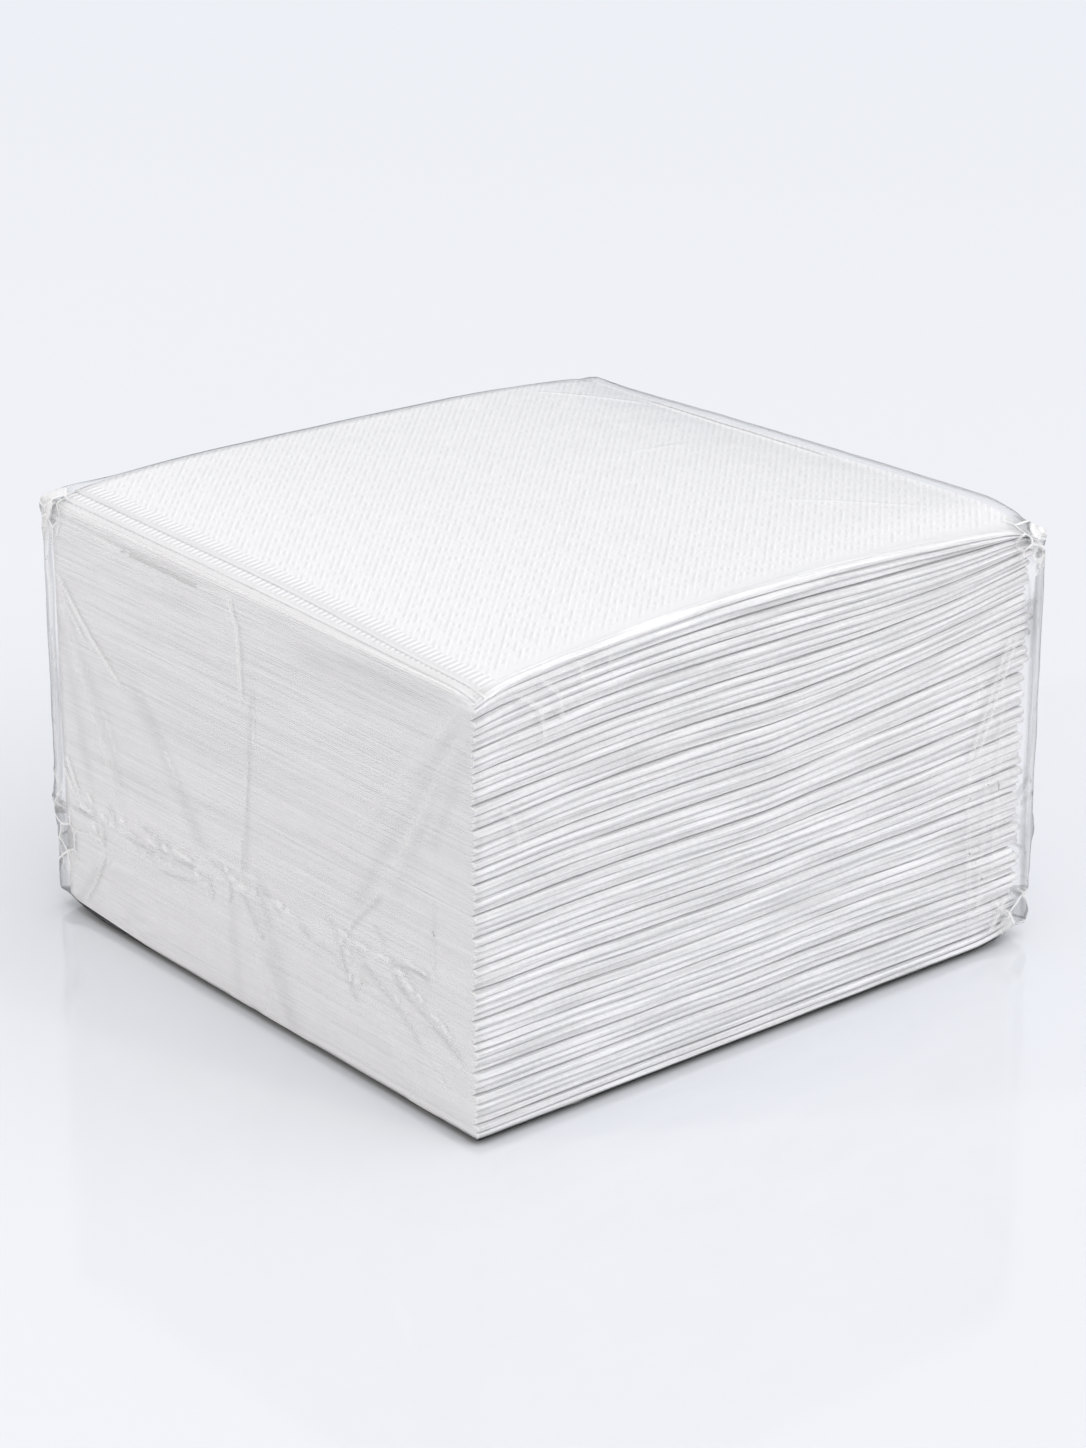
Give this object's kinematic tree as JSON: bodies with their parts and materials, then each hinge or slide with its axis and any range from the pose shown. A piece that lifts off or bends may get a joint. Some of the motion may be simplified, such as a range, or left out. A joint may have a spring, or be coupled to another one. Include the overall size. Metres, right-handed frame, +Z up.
{
  "type": "stack of paper napkins",
  "caption": "Square block of white quarter-folded paper napkins, stacked with their folds to one side, in a clear film wrap with sealed ends.",
  "frame": {"origin": "centre of the pack's underside, on the surface it stands on", "axes": "+Z up, +X towards the fold noses of the napkins, +Y towards their first-fold ends, so that the cut edges face -Y"},
  "size_m": [0.1247, 0.1299, 0.0826],
  "materials": {
    "tissue": "matte two-ply tissue, bleached white, finely embossed",
    "film": "clear thin film, glossy"
  },
  "bodies": {
    "root": {"napkin_01": "tissue", "napkin_02": "tissue", "napkin_03": "tissue", "napkin_04": "tissue", "napkin_05": "tissue", "napkin_06": "tissue", "napkin_07": "tissue", "napkin_08": "tissue", "napkin_09": "tissue", "napkin_10": "tissue", "napkin_11": "tissue", "napkin_12": "tissue", "napkin_13": "tissue", "napkin_14": "tissue", "napkin_15": "tissue", "napkin_16": "tissue", "napkin_17": "tissue", "napkin_18": "tissue", "napkin_19": "tissue", "napkin_20": "tissue", "napkin_21": "tissue", "napkin_22": "tissue", "napkin_23": "tissue", "napkin_24": "tissue", "napkin_25": "tissue", "napkin_26": "tissue", "napkin_27": "tissue", "napkin_28": "tissue", "napkin_29": "tissue", "napkin_30": "tissue", "napkin_31": "tissue", "napkin_32": "tissue", "napkin_33": "tissue", "napkin_34": "tissue", "napkin_35": "tissue", "napkin_36": "tissue", "napkin_37": "tissue", "napkin_38": "tissue", "napkin_39": "tissue", "napkin_40": "tissue", "napkin_41": "tissue", "napkin_42": "tissue", "napkin_43": "tissue", "napkin_44": "tissue", "napkin_45": "tissue", "napkin_46": "tissue", "napkin_47": "tissue", "napkin_48": "tissue", "napkin_49": "tissue", "napkin_50": "tissue", "napkin_51": "tissue", "napkin_52": "tissue", "napkin_53": "tissue", "napkin_54": "tissue", "napkin_55": "tissue", "napkin_56": "tissue", "napkin_57": "tissue", "napkin_58": "tissue", "film_wrap": "film"}
  },
  "joints": []
}
